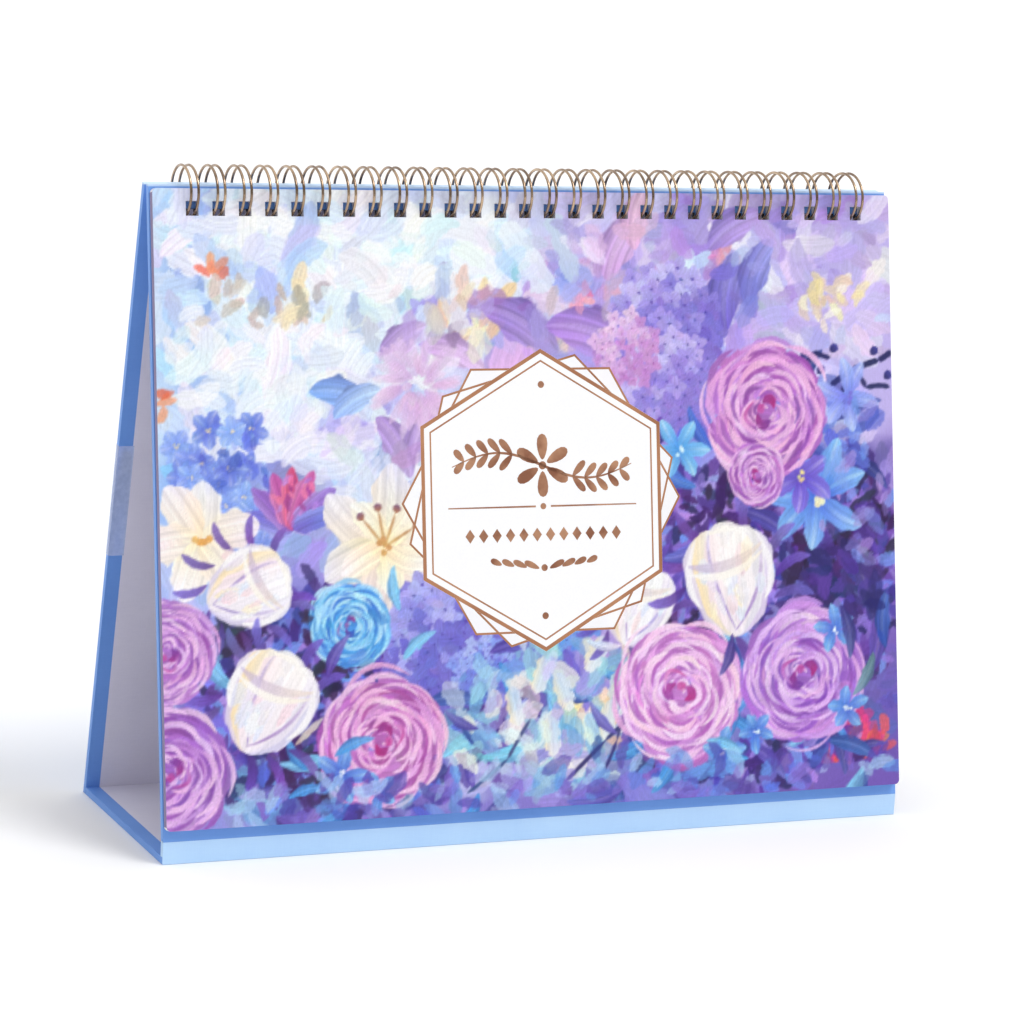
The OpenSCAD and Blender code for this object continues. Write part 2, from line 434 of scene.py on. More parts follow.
def arc(x, u, a, span, d, width, c, c1=None, alpha=0.9, drift=0.0, **more):
    """A stroke along part of a circle round a flower's heart."""
    start, end = polar(x, u, a - span, d * (1 + drift)), polar(x, u, a + span, d * (1 - drift))
    bulge = polar(x, u, a, d * (2 / math.cos(math.radians(span)) - 1) * 1.02)
    stroke([start, bulge, end], width, c, c1, alpha, **more)


def rose(x, u, r, base, light, deep, seed=0):
    """A full loose rose: lobed outer petals, crowded curling strokes and a tight dark heart."""
    turn = 47.0 * seed
    for k in range(9):
        a = turn + k * 40 + rng.normal(0, 5)
        arc(x, u, a, 27, r * 0.70, r * 0.52, vary(near(base, deep, 0.35)), vary(near(base, deep, 0.1)), 0.95,
            side=deep, taper=(0.2, 0.2))
    for k in range(7):
        arc(x, u, turn + k * 51, 32, r * 0.36, r * 0.6, vary(near(base, deep, 0.3)), vary(base), 0.95)
    stroke([(x - r * 0.16, u), (x + r * 0.16, u)], r * 0.62, near(base, deep, 0.4),
           near(base, deep, 0.25), 0.95)
    count = 46 + int(r * 3.2)
    for i in range(count):
        t = i / count
        d = r * (0.96 - 0.84 * t) * (1 + 0.05 * rng.normal())
        p = rng.random()
        c = (near(base, light, 0.25 + 0.7 * rng.random()) if p < 0.5 else vary(base, 12) if p < 0.66
             else near(base, deep, 0.3 + 0.7 * rng.random()) if p < 0.83 else near(light, WHITE, 0.35))
        arc(x, u, rng.random() * 360, 14 + 20 * rng.random() + 16 * t, d,
            max(0.9, r * (0.055 + 0.085 * rng.random()) * (1 - 0.4 * t)), vary(c, 9),
            vary(near(c, base, 0.4), 9), 0.88, 0.05, rough=0.5)
    for ring, (dist, n, span) in enumerate(ROSE_RINGS):
        for k in range(n):
            a = turn + ring * 29 + k * 360 / n + rng.normal(0, 7)
            d = r * dist * (1 + 0.05 * rng.normal())
            px, pu = x + r * 0.045 * rng.normal(), u + r * 0.045 * rng.normal()
            if rng.random() < 0.8:
                arc(px, pu, a + 4, span * 0.85, d * 0.88, max(0.8, r * 0.06), vary(near(deep, base, 0.4), 12),
                    vary(near(deep, base, 0.15), 12), 0.75, 0.05, rough=0.5)
            arc(px, pu, a, span, d, max(0.7, r * (0.04 + 0.06 * rng.random())),
                vary(near(light, WHITE, 0.3 * rng.random()), 7), vary(near(light, base, 0.4), 8), 0.9, 0.05)
    for a, d, wide, c, c1 in (
            (200, 0.15, 0.14, near(deep, CRIMSON, 0.5), deep),
            (20, 0.13, 0.13, near(deep, CRIMSON, 0.8), near(deep, CRIMSON, 0.4)),
            (110, 0.06, 0.14, near(base, CRIMSON, 0.7), near(base, CRIMSON, 0.4)),
            (290, 0.20, 0.07, near(light, WHITE, 0.3), near(base, light, 0.5)),
            (150, 0.25, 0.06, near(base, CRIMSON, 0.6), near(base, light, 0.3)),
            (60, 0.04, 0.06, near(light, WHITE, 0.4), near(base, CRIMSON, 0.3))):
        arc(x, u, turn + a, 52, r * d, r * wide, c, c1, 0.9)


def tulip(x, u, r, angle, light=(252, 249, 245), shade=(214, 204, 232), warm=(244, 220, 168)):
    """A rounded cup of overlapping petals whose tips nearly close, towards angle, against dark leaves."""

    def at(turn, share):
        return polar(x, u, angle + turn, r * share)

    foot = at(180, 0.80)
    for k in range(11):
        a = angle + 180 + (k - 5) * 31 + rng.normal(0, 6)
        s = polar(x, u, a, r * 0.78)
        stroke([s, polar(*s, a + 50, r * 0.4), polar(*s, a + 20, r * 0.7)], r * 0.16,
               vary((84, 54, 140), 14), vary((120, 100, 196), 16), 0.85)
    for tip_a, mid_a, wide, c, side in (
            (-30, -74, 0.62, shade, (150, 130, 196)), (30, 74, 0.62, near(light, warm, 0.5), shade),
            (-17, -44, 0.66, near(light, shade, 0.5), shade), (17, 44, 0.66, near(light, warm, 0.35), warm),
            (0, 0, 0.80, light, near(light, (236, 196, 210), 0.5))):
        stroke([foot, at(mid_a, 0.62), at(tip_a, 0.92)], r * wide, vary(near(c, shade, 0.3), 5),
               vary(near(c, light, 0.5), 4), 0.96, (0.22, 0.26), 0.05, side, 0.15)
    for tip_a, mid_a in ((-33, -92), (14, 44)):
        tip = at(tip_a, 0.88 + 0.1 * rng.random())
        stroke([polar(*foot, angle, r * 0.1), at(mid_a, 0.72), tip], max(0.8, r * 0.055),
               vary((130, 104, 180), 10), vary(near(shade, light, 0.5), 6), 0.85, (0.3, 0.4))
    for k in range(18):
        a = rng.normal(0, 26)
        s = polar(*foot, angle + a, r * (0.2 + 0.85 * rng.random()))
        tone = [near(light, WHITE, 0.8), near(light, warm, 0.7), near(shade, light, 0.4), (214, 226, 244),
                (240, 206, 214)][rng.integers(5)]
        stroke([s, polar(*s, angle + a * 0.2 + 6 * rng.normal(), r * (0.3 + 0.35 * rng.random()))],
               r * (0.10 + 0.14 * rng.random()), vary(tone, 6), vary(near(tone, light, 0.5), 4), 0.7,
               rough=0.6)
    for s in (-1, 1):
        stroke([at(s * 118, 0.62), at(s * 84, 0.9), at(s * 34, 0.93)], r * 0.12, WHITE,
               near(WHITE, shade, 0.2), 0.9, (0.3, 0.4), 0.04)
    left, right = at(62, 0.80), at(-46, 0.84)
    stroke([left, at(0, 0.14), right], r * 0.17, near(shade, (120, 92, 170), 0.35),
           near(warm, shade, 0.35), 0.6, (0.3, 0.4), 0.08)
    stroke([polar(*left, angle + 180, r * 0.12), at(180, 0.02), polar(*right, angle + 180, r * 0.12)],
           r * 0.12, WHITE, near(WHITE, warm, 0.3), 0.85, (0.3, 0.4), 0.04)
    stroke([at(20, 0.86), at(2, 1.02), at(-30, 0.86)], r * 0.16, near(WHITE, warm, 0.2), WHITE, 0.9,
           (0.3, 0.4), 0.05)


def open_flower(x, u, r, petals, inner, outer, heart, turn=0.0, wide=0.5):
    """Pointed or round petals round a small heart."""
    for k in range(petals):
        a = turn + k * 360 / petals + rng.normal(0, 6)
        tip = polar(x, u, a, r * (0.9 + 0.2 * rng.random()))
        mid = bowed((x, u), tip, a, r * 0.1 * rng.normal())
        stroke([(x, u), mid, tip], r * wide, vary(inner, 6), vary(outer, 6), 0.93, (0.4, 0.3), 0.09,
               near(outer, inner, 0.5), 0.25)
        stroke([polar(x, u, a, r * 0.15), mid, tip], r * wide * 0.2, vary(near(inner, outer, 0.3), 8),
               vary(near(outer, WHITE, 0.5), 6), 0.7)
    for _ in range(5):
        s = polar(x, u, rng.random() * 360, r * 0.10)
        stroke([s, polar(*s, rng.random() * 360, r * 0.12)], r * 0.12, vary(heart, 8), None, 0.9)


def floret_ball(x, u, r, tones, count, heart=(70, 60, 150)):
    """A round head of small four-petalled florets, lighter towards the upper left."""
    spots = [(math.sqrt((i + 0.5) / count), i * 137.5) for i in range(count)]
    for d, a in sorted(spots, key=lambda s: -s[0]):
        px, pu = polar(x, u, a, r * d)
        lit = np.clip(0.5 + 0.5 * ((pu - u) * 0.8 - (px - x) * 0.5) / r + rng.normal(0, 0.16), 0, 1)
        c = near(tones[0], tones[1], lit) if lit < 0.6 else near(tones[1], tones[2], (lit - 0.6) / 0.4)
        size = r * 0.21 * (0.8 + 0.5 * rng.random())
        turn = rng.random() * 90
        for k in range(4):
            stroke([(px, pu), polar(px, pu, turn + k * 90, size)], size * 0.8,
                   vary(near(c, tones[0], 0.25), 6), vary(c, 8), 0.9, (0.3, 0.4), 0.1)
        stroke([(px, pu), polar(px, pu, turn, size * 0.16)], size * 0.26, vary(heart, 12), None, 0.75)


def foliage(x, u, length, angle, c, tip=None, width=0.3, bend=0.18):
    """A bent pointed leaf with a lighter midrib."""
    e = polar(x, u, angle, length)
    m = bowed((x, u), e, angle, length * bend)
    stroke([(x, u), m, e], length * width, vary(c, 7), vary(tip or c, 8), 0.93, (0.45, 0.55), 0.14,
           near(c, NAVY, 0.35))
    stroke([(x, u), m, e], length * width * 0.14, near(c, WHITE, 0.3), None, 0.5)


def twig(points, width, c=NAVY):
    """Short strokes from point to point, a little off the straight."""
    for a, b in zip(points[:-1], points[1:]):
        m = ((a[0] + b[0]) / 2 + rng.normal(0, 0.6), (a[1] + b[1]) / 2 + rng.normal(0, 0.6))
        stroke([a, m, b], width, vary(c, 6), None, 0.95, (0.1, 0.15))


def ground():
    """Pale sky above, lilac and violet to the right, and a darker bed below."""
    cloud = soft_noise(38, 3)[..., None] * 0.6 + soft_noise(14, 4)[..., None] * 0.4
    side = np.clip((grid_x / ART_W + 0.5), 0, 1)[None, :, None]
    up = np.clip(grid_u / ART_H, 0, 1)[:, None, None]
    sky = rgb(196, 220, 246) * (1 - side) + rgb(190, 176, 232) * side
    bed = rgb(150, 150, 222) * (1 - side) + rgb(112, 84, 176) * side
    blend = np.clip((up + (cloud - 0.5) * 0.5 - 0.25) / 0.4, 0, 1)
    canvas[:] = bed * (1 - blend) + sky * blend


def washes():
    """Washes and loose strokes over the sky and the bed."""
    for i, (x, u, rx, ru, c, a) in enumerate((
            (-100, 178, 40, 22, (150, 186, 240), 0.8), (-60, 170, 45, 22, (206, 232, 246), 0.85),
            (-20, 182, 30, 14, (240, 246, 250), 0.9), (-92, 140, 30, 22, (196, 226, 246), 0.85),
            (-70, 118, 40, 20, (222, 234, 250), 0.9), (-112, 160, 16, 30, (128, 160, 226), 0.6),
            (20, 176, 26, 16, (214, 190, 236), 0.7), (56, 182, 28, 14, (176, 150, 222), 0.8),
            (96, 182, 30, 14, (170, 140, 212), 0.8), (60, 160, 34, 18, (148, 136, 216), 0.8),
            (100, 158, 26, 16, (186, 176, 228), 0.8), (-22, 150, 26, 16, (150, 118, 206), 0.75),
            (8, 140, 26, 16, (200, 150, 206), 0.8), (34, 140, 22, 18, (150, 160, 232), 0.7),
            (-44, 128, 22, 18, (196, 160, 216), 0.85), (-52, 104, 20, 14, (178, 190, 242), 0.7),
            (-112, 100, 18, 22, (130, 170, 240), 0.8), (64, 104, 40, 26, (120, 96, 196), 0.8),
            (104, 92, 30, 30, (70, 56, 142), 0.75), (60, 74, 34, 18, (88, 62, 150), 0.8),
            (-80, 52, 34, 20, (92, 98, 190), 0.8), (-96, 30, 34, 20, (92, 72, 166), 0.75),
            (-44, 44, 34, 18, (118, 124, 210), 0.8), (-10, 40, 24, 22, (128, 178, 214), 0.85),
            (12, 22, 30, 18, (176, 206, 214), 0.85), (30, 52, 24, 14, (206, 186, 222), 0.8),
            (-34, 14, 30, 12, (196, 214, 236), 0.8), (44, 12, 24, 12, (110, 170, 226), 0.8),
            (92, 14, 34, 14, (88, 96, 186), 0.8), (-84, 12, 30, 10, (96, 156, 216), 0.8))):
        wash(x, u, rx, ru, c, a, seed=100 + i)
    dabs(-62, 160, 64, 34,
         [(232, 244, 252), (186, 222, 250), (150, 196, 244), (216, 226, 250), (250, 250, 250)], 110, 7.5,
         20, 60, 0.6)
    dabs(-98, 176, 26, 16, [(118, 150, 226), (150, 178, 240), (198, 216, 250)], 40, 6, 60, 40, 0.65)
    dabs(60, 168, 66, 24,
         [(164, 138, 216), (190, 170, 230), (140, 122, 206), (214, 204, 240), (238, 228, 246)], 110, 7.5,
         -30, 55, 0.6)
    dabs(20, 150, 34, 20, [(214, 150, 204), (176, 148, 224), (150, 172, 238), (226, 190, 226)], 60, 5.5, 10,
         60, 0.65)
    dabs(-70, 112, 44, 24, [(200, 224, 250), (232, 240, 252), (164, 190, 240), (220, 206, 240)], 80, 6.5,
         10, 60, 0.65)
    dabs(0, 96, 120, 40, [(150, 140, 220), (116, 110, 204), (180, 166, 230), (140, 180, 236)], 150, 6, 40,
         70, 0.5)
    dabs(0, 34, 126, 36, [(92, 88, 190), (120, 112, 210), (70, 58, 150), (128, 166, 226), (160, 140, 220)],
         260, 5, 45, 70, 0.6)
    restroke(420, 7.5, -127, 127, 0, 194, 9, 0.75, 2.0, 11)
    restroke(520, 4.2, -127, 127, 0, 194, 12, 0.7, 2.4, 12)


def knife_marks():
    """Broad pale knife marks at the top."""
    for x, u, l, a, w, c in (
            (-48, 186, 34, -12, 8, (250, 250, 250)), (-30, 176, 30, -38, 9, (244, 248, 252)),
            (-66, 165, 34, 6, 6, (252, 252, 252)), (-12, 184, 26, -55, 9, (236, 244, 250)),
            (4, 188, 24, -70, 6, (196, 214, 232)), (-96, 152, 20, 80, 7, (214, 238, 248)),
            (60, 184, 22, -28, 6, (246, 240, 250)), (70, 176, 18, -48, 6, (222, 236, 250)),
            (46, 168, 22, 18, 5, (196, 226, 250)), (92, 172, 22, 70, 5, (224, 214, 242)),
            (-118, 134, 14, 84, 5, (236, 244, 250)), (-104, 112, 26, 6, 6, (250, 250, 252)),
            (108, 186, 18, -10, 5, (178, 160, 226)), (30, 186, 20, -64, 5, (228, 204, 240))):
        e = polar(x, u, a, l)
        stroke([(x, u), bowed((x, u), e, a, 1.5), e], w, c, near(c, (190, 200, 236), 0.35), 0.85,
               (0.12, 0.1), 0.04, None, 0.7)


def scumble():
    """A last pale scumble over the sky."""
    dabs(-78, 158, 50, 34, [(252, 252, 252), (240, 246, 252), (226, 240, 250), (250, 246, 244)], 90, 6.5,
         10, 60, 0.72)
    dabs(-92, 132, 34, 14, [(250, 250, 252), (226, 238, 250), (236, 232, 246)], 34, 5.5, 0, 50, 0.7)
    dabs(-66, 110, 26, 16, [(246, 246, 252), (214, 226, 250), (232, 222, 244)], 30, 5.5, 30, 60, 0.7)
    dabs(-94, 182, 40, 14, [(238, 242, 252), (224, 232, 250), (246, 246, 252), (214, 224, 248)], 90, 6.5,
         20, 50, 0.8)
    dabs(-90, 164, 14, 12, [(160, 190, 244), (190, 210, 250), (206, 200, 244)], 14, 6, 60, 40, 0.6)
    dabs(62, 182, 60, 12, [(236, 232, 248), (206, 196, 238), (176, 168, 226)], 26, 5.5, -30, 50, 0.65)


def accents():
    """Warm touches, then soft leaves and far flower heads."""
    for x, u, rx, ru, cs, n, s in (
            (-108, 166, 4, 3, [(226, 110, 84), (240, 150, 110)], 6, 2.6),
            (-104, 158, 9, 6, [(214, 198, 190), (196, 176, 160)], 10, 3.2),
            (-126, 128, 2, 7, [(226, 104, 70), (236, 140, 90)], 5, 2.4),
            (-82, 156, 10, 7, [(206, 190, 170), (240, 226, 190), (170, 160, 160)], 16, 3.4),
            (-24, 152, 9, 9, [(240, 214, 150), (226, 190, 176), (246, 232, 196)], 18, 3.4),
            (20, 156, 14, 6, [(236, 130, 170), (240, 170, 190)], 12, 2.6),
            (4, 148, 10, 7, [(226, 206, 196), (206, 180, 190)], 14, 3.6),
            (104, 156, 10, 9, [(240, 226, 170), (250, 240, 214), (226, 200, 180)], 22, 3.0),
            (64, 172, 8, 4, [(226, 150, 160), (206, 130, 190)], 8, 2.8),
            (10, 24, 12, 8, [(244, 222, 160), (250, 240, 206), (226, 196, 160)], 18, 3.4),
            (24, 34, 8, 6, [(246, 236, 200), (230, 210, 200)], 10, 3.4),
            (110, 13, 13, 7, [(222, 84, 92), (236, 120, 84), (214, 60, 130)], 34, 3.6)):
        dabs(x, u, rx, ru, cs, n, s, 70, 50, 0.85)
    for x, u, l, a, c in (
            (-20, 158, 30, -30, (150, 116, 206)), (2, 152, 34, -18, (166, 128, 214)),
            (24, 166, 26, 60, (206, 160, 222)), (34, 176, 20, 80, (228, 178, 214)),
            (18, 142, 26, 10, (186, 132, 200)), (66, 150, 26, 80, (104, 92, 196)),
            (74, 158, 24, 66, (120, 110, 210)), (60, 176, 24, 30, (150, 126, 214)),
            (-54, 140, 20, 40, (186, 148, 214)), (-40, 146, 22, -20, (206, 166, 220)),
            (-56, 124, 22, -60, (178, 140, 210)), (-44, 112, 20, 60, (190, 156, 220)),
            (-78, 132, 20, -10, (120, 162, 236)), (-70, 124, 18, 30, (150, 186, 242))):
        foliage(x, u, l, a, c, near(c, WHITE, 0.35), 0.5, 0.2)
    restroke(160, 4.5, -70, 90, 110, 185, 12, 0.6, 2.2, 14)
    for k in range(90):
        a, r = rng.random() * 360, 5 + 13 * rng.random()
        s = polar(-42, 134, a, r * 0.35)
        stroke([s, polar(-42, 134, a + 12, r)], 2.6, vary((206, 168, 214), 8), vary((232, 206, 236), 8), 0.55)
    floret_ball(44, 152, 19, [(118, 104, 200), (160, 146, 226), (206, 198, 244)], 70)
    floret_ball(46, 132, 17, [(132, 112, 206), (172, 156, 230), (214, 206, 246)], 60)
    floret_ball(30, 144, 12, [(190, 130, 200), (214, 170, 222), (240, 214, 240)], 34, (150, 80, 160))


def shade():
    """Plum shade under and between the blooms."""
    for x, u, rx, ru, n in (
            (96, 84, 34, 24, 150), (60, 66, 26, 14, 70), (-78, 56, 34, 18, 110), (-92, 30, 26, 18, 70),
            (-22, 30, 26, 16, 40), (70, 14, 44, 14, 90), (-70, 10, 40, 10, 60), (112, 60, 16, 30, 80),
            (16, 88, 20, 12, 10), (44, 96, 14, 18, 40)):
        dabs(x, u, rx, ru,
             [(74, 40, 124), (96, 60, 160), (56, 34, 108), (118, 84, 184), (60, 60, 150), (40, 36, 96)], n,
             3.4, 60, 80, 0.88, 0.4, 2.6)
        dabs(x, u, rx, ru, [(88, 110, 216), (110, 150, 236), (140, 110, 206), (170, 140, 220)], n // 2, 2.6,
             60, 80, 0.85, 0.4, 2.6)
    for x, u, rx, ru, n in (
            (66, 92, 15, 9, 36), (96, 74, 20, 9, 40), (-72, 50, 10, 14, 34), (-84, 14, 12, 8, 20),
            (118, 84, 8, 18, 24), (-104, 56, 12, 6, 16), (52, 52, 12, 6, 14)):
        dabs(x, u, rx, ru, [(52, 22, 84), (40, 20, 66), (66, 34, 104), (44, 44, 72)], n, 2.8, 60, 80, 0.9,
             0.4, 2.6)


def dark_leaves():
    """Dark leaves and twigs at the right."""
    for x, u, l, a, c in (
            (92, 128, 18, 60, NAVY), (104, 120, 20, 20, (44, 48, 128)), (112, 108, 16, -40, (40, 44, 120)),
            (84, 104, 20, -60, (60, 50, 140)), (70, 92, 22, -30, (70, 60, 156)),
            (96, 84, 22, -80, (50, 40, 122)), (60, 84, 20, 200, (84, 76, 170)),
            (110, 76, 24, -70, (58, 40, 118)), (120, 60, 24, -100, (88, 58, 150)),
            (54, 100, 18, 150, (60, 120, 206)), (60, 112, 16, 120, (50, 96, 196)),
            (104, 66, 20, -30, (40, 46, 112)), (76, 66, 16, -100, (60, 40, 120))):
        foliage(x, u, l, a, c, near(c, (110, 140, 230), 0.4))
    dabs(108, 74, 16, 20, [(60, 44, 124), (86, 60, 160), (40, 34, 100)], 46, 4.2, -60, 40, 0.8)
    dabs(100, 120, 18, 12, [(90, 110, 210), (120, 150, 236), (60, 70, 170)], 30, 3.8, 30, 60, 0.75)
    twig([(92, 136), (98, 143), (104, 141)], 1.6)
    twig([(104, 132), (112, 137), (122, 140), (127, 143)], 2.0)
    twig([(112, 137), (117, 131), (126, 131)], 1.7)
    twig([(98, 132), (94, 138), (90, 141)], 1.5)
    for x, u in ((93, 141), (99, 136), (104, 143), (119, 142), (124, 134), (108, 130)):
        stroke([(x, u), polar(x, u, 40, 3.4)], 2.8, NAVY, (60, 60, 150), 0.95)


def blue_cluster():
    """Small blue flowers at the left edge."""
    for k in range(24):
        x, u = -108 + 13 * rng.normal() * 0.8, 109 + 12 * rng.normal() * 0.8
        tone = near((80, 100, 206), (134, 170, 244), rng.random())
        open_flower(x, u, 4.4 + 2.2 * rng.random(), 5, tone, near(tone, (190, 214, 250), 0.5),
                    (230, 214, 180), rng.random() * 72, 0.7)
    dabs(-104, 104, 18, 18, [(70, 90, 190), (96, 120, 216)], 22, 2.2, 60, 80, 0.8)


def lilies():
    """A pink bell, and pale lilies with gold hearts."""
    for a, c in (
            (168, (122, 130, 222)), (140, (150, 104, 200)), (112, (200, 88, 160)), (90, (222, 80, 120)),
            (66, (204, 96, 168)), (36, (150, 112, 208)), (10, (110, 130, 226))):
        stroke([(-84, 90), polar(-84, 92, a + 8, 8), polar(-84, 92, a, 16 + 2 * rng.random())], 6.5,
               near(c, (120, 40, 130), 0.35), vary(c, 8), 0.92, (0.2, 0.35), 0.12, near(c, WHITE, 0.3), 0.4)
    dabs(-84, 98, 9, 6, [(214, 60, 100), (236, 130, 160), (160, 60, 150), (190, 140, 220)], 16, 1.8, 90, 30,
         0.8)
    open_flower(-54, 84, 24, 6, (246, 226, 178), (238, 234, 248), (226, 170, 80), 24, 0.55)
    open_flower(-54, 84, 17, 5, (250, 232, 180), (252, 250, 246), (206, 150, 90), 60, 0.5)
    for a in (70, 100, 130, 30):
        e = polar(-54, 84, a, 11)
        stroke([(-54, 84), e], 0.9, (214, 170, 100), (170, 110, 70), 0.8)
        stroke([e, polar(*e, a, 2.6)], 2.6, (170, 104, 70), (110, 70, 110), 0.9)
    open_flower(-114, 88, 19, 6, (248, 232, 196), (246, 240, 246), (226, 170, 90), 10, 0.62)


def blue_stars():
    """Light blue pointed flowers."""
    open_flower(98, 96, 19, 7, (70, 110, 216), (146, 206, 250), (250, 240, 190), 12, 0.4)
    open_flower(92, 102, 12, 6, (96, 70, 190), (146, 130, 230), (240, 220, 150), 30, 0.5)
    open_flower(48, 112, 11, 6, (70, 150, 226), (150, 214, 246), (210, 240, 250), 0, 0.42)
    open_flower(110, 128, 12, 6, (110, 120, 226), (176, 196, 250), (120, 110, 210), 50, 0.42)
    open_flower(-64, 60, 11, 6, (40, 130, 214), (120, 206, 244), (20, 80, 170), 20, 0.62)
    open_flower(-60, 58, 7, 5, (90, 190, 240), (180, 232, 250), (40, 110, 200), 50, 0.62)


def hydrangeas():
    """Hydrangea heads between the lower flowers."""
    floret_ball(-34, 54, 20, [(96, 90, 190), (140, 136, 222), (186, 190, 244)], 90)
    floret_ball(-22, 44, 11, [(90, 110, 206), (140, 160, 236), (190, 206, 250)], 34)
    floret_ball(8, 60, 11, [(90, 140, 220), (150, 186, 240), (214, 226, 250)], 30)


def bed_leaves():
    """Leaves, pale blooms and twigs of the bed."""
    for k in range(64):
        x = -126 + 252 * rng.random()
        u = 4 + 62 * rng.random() ** 1.3
        c = [(58, 44, 132), (84, 62, 168), (44, 74, 160), (60, 140, 214), (120, 196, 236)][rng.integers(5)]
        foliage(x, u, 9 + 12 * rng.random(), rng.random() * 360, c, near(c, (150, 200, 250), 0.35), 0.3)
    dabs(-2, 26, 30, 24,
         [(150, 206, 226), (206, 226, 232), (120, 176, 216), (236, 236, 226), (170, 160, 220)], 90, 4.6, 80,
         60, 0.75)
    for x, u, a in ((-4, 36, 70), (8, 30, 110), (14, 42, 60), (-10, 26, 100), (20, 20, 80), (2, 16, 95)):
        stroke([(x, u), polar(x, u, a, 13)], 5.5, (236, 240, 240), (200, 216, 236), 0.85, (0.2, 0.2), 0.06,
               (246, 230, 190), 0.6)
    twig([(6, 8), (20, 20), (34, 30)], 1.3, (50, 50, 110))
    twig([(16, 6), (24, 20), (30, 34)], 1.1, (60, 60, 120))
    twig([(-28, 6), (-14, 16), (-6, 28)], 1.1, (60, 70, 130))


def ranunculus():
    """A pale blue ranunculus, then strokes that tie the whole bed together."""
    rose(-66, 60, 13, (88, 170, 232), (176, 226, 250), (34, 92, 190), 9)
    restroke(200, 2.6, -127, 127, 0, 70, 14, 0.6, 2.4, 21)


def tulips():
    """White tulips."""
    tulip(-100, 72, 16, 20)
    tulip(32, 62, 16, 70)
    tulip(66, 68, 21, 96)
    tulip(-94, 36, 19, 60)


def roses():
    """Violet and pink roses."""
    violet, pale, dark = (196, 128, 208), (238, 196, 234), (122, 58, 156)
    rose(80, 124, 22, violet, (242, 190, 226), (122, 54, 146), 1)
    rose(76, 103, 10, (186, 120, 204), pale, (130, 60, 150), 2)
    rose(-126, 54, 16, (190, 130, 208), pale, dark, 3)
    rose(-126, 18, 20, (168, 108, 200), pale, dark, 4)
    rose(-56, 24, 20, (206, 128, 204), (246, 196, 228), (142, 50, 136), 5)
    rose(47, 34, 22, (216, 150, 216), (252, 220, 242), (156, 74, 168), 7)
    rose(92, 38, 22, (180, 122, 212), (232, 192, 238), (108, 54, 158), 8)


def overlaps():
    """Small blooms and leaves that overlap the big ones."""
    for x, u, r, a in (
            (-70, 14, 9, 0), (-58, 8, 7, 40), (62, 14, 8, 10), (74, 20, 7, 50), (108, 26, 8, 20),
            (-20, 66, 6, 0), (104, 52, 8, 30)):
        open_flower(x, u, r, 5, (60, 96, 200), (120, 186, 240), (230, 240, 250), a, 0.5)
    for x, u, l, a, c in (
            (66, 52, 14, 250, (60, 40, 128)), (106, 60, 18, 280, (44, 40, 116)),
            (118, 44, 16, 240, (90, 130, 140)), (-74, 44, 15, 60, (84, 56, 160)),
            (-72, 20, 14, 20, (70, 150, 220)), (-24, 26, 13, 150, (70, 56, 150)),
            (24, 22, 14, 130, (96, 80, 180)), (-100, 8, 14, 10, (80, 60, 160)),
            (56, 18, 14, -20, (110, 190, 230)), (26, 50, 12, 170, (230, 226, 240))):
        foliage(x, u, l, a, c, near(c, (160, 210, 250), 0.4), 0.28)
    dabs(112, 96, 14, 30, [(150, 136, 214), (120, 160, 236), (190, 160, 226)], 22, 3.6, 80, 40, 0.6)
    dabs(0, 6, 126, 5, [(96, 150, 220), (130, 110, 206), (170, 200, 236), (80, 66, 160)], 90, 3.6, 20, 60,
         0.7)


def paint_cover():
    """A loose floral bed, laid on from the ground up."""
    ground()
    washes()
    knife_marks()
    scumble()
    accents()
    shade()
    dark_leaves()
    blue_cluster()
    lilies()
    blue_stars()
    hydrangeas()
    bed_leaves()
    ranunculus()
    tulips()
    roses()
    overlaps()


paint_cover()


MARGIN_STEPS, HOLE_STEPS, GAP_STEPS = 20, 8, 9
LOW_ROWS, HOLE_ROWS, TOP_ROWS = 372, 9, 8


def spans(total, steps):
    return [total * i / steps for i in range(1, steps + 1)]


def lines_across():
    """x of the mesh's lines, so that every hole's sides lie on one."""
    margin = LEAF_W / 2 - (HOLES - 1) / 2 * HOLE_PITCH - HOLE_W / 2
    xs = [-LEAF_W / 2] + [s - LEAF_W / 2 for s in spans(margin, MARGIN_STEPS)]
    for h in range(HOLES):
        xs += [xs[-1] + s for s in spans(HOLE_W, HOLE_STEPS)]
        if h < HOLES - 1:
            xs += [xs[-1] + s for s in spans(HOLE_PITCH - HOLE_W, GAP_STEPS)]
    xs += [xs[-1] + s for s in spans(LEAF_W / 2 - xs[-1], MARGIN_STEPS)]
    return np.array(xs)


def lines_up():
    """u of the mesh's lines, so that the holes' lower and upper sides lie on one."""
    low = LEAF_H - HOLE_DROP - HOLE_H / 2
    us = [0.0] + spans(low, LOW_ROWS)
    us += [low + s for s in spans(HOLE_H, HOLE_ROWS)]
    us += [low + HOLE_H + s for s in spans(LEAF_H - low - HOLE_H, TOP_ROWS)]
    return np.array(us)


def round_corners(x, u):
    """Bends the square corners of the leaf's mesh into quarter circles."""
    a = (np.abs(x) - (LEAF_W / 2 - CORNER)) / CORNER
    b = (np.abs(u - LEAF_H / 2) - (LEAF_H / 2 - CORNER)) / CORNER
    corner = (a > 0) & (b > 0)
    na = np.where(corner, a * np.sqrt(1 - np.clip(b, 0, 1) ** 2 / 2), a)
    nb = np.where(corner, b * np.sqrt(1 - np.clip(a, 0, 1) ** 2 / 2), b)
    x = np.where(corner, np.sign(x) * (LEAF_W / 2 - CORNER + na * CORNER), x)
    u = np.where(corner, LEAF_H / 2 + np.sign(u - LEAF_H / 2) * (LEAF_H / 2 - CORNER + nb * CORNER), u)
    return x, u


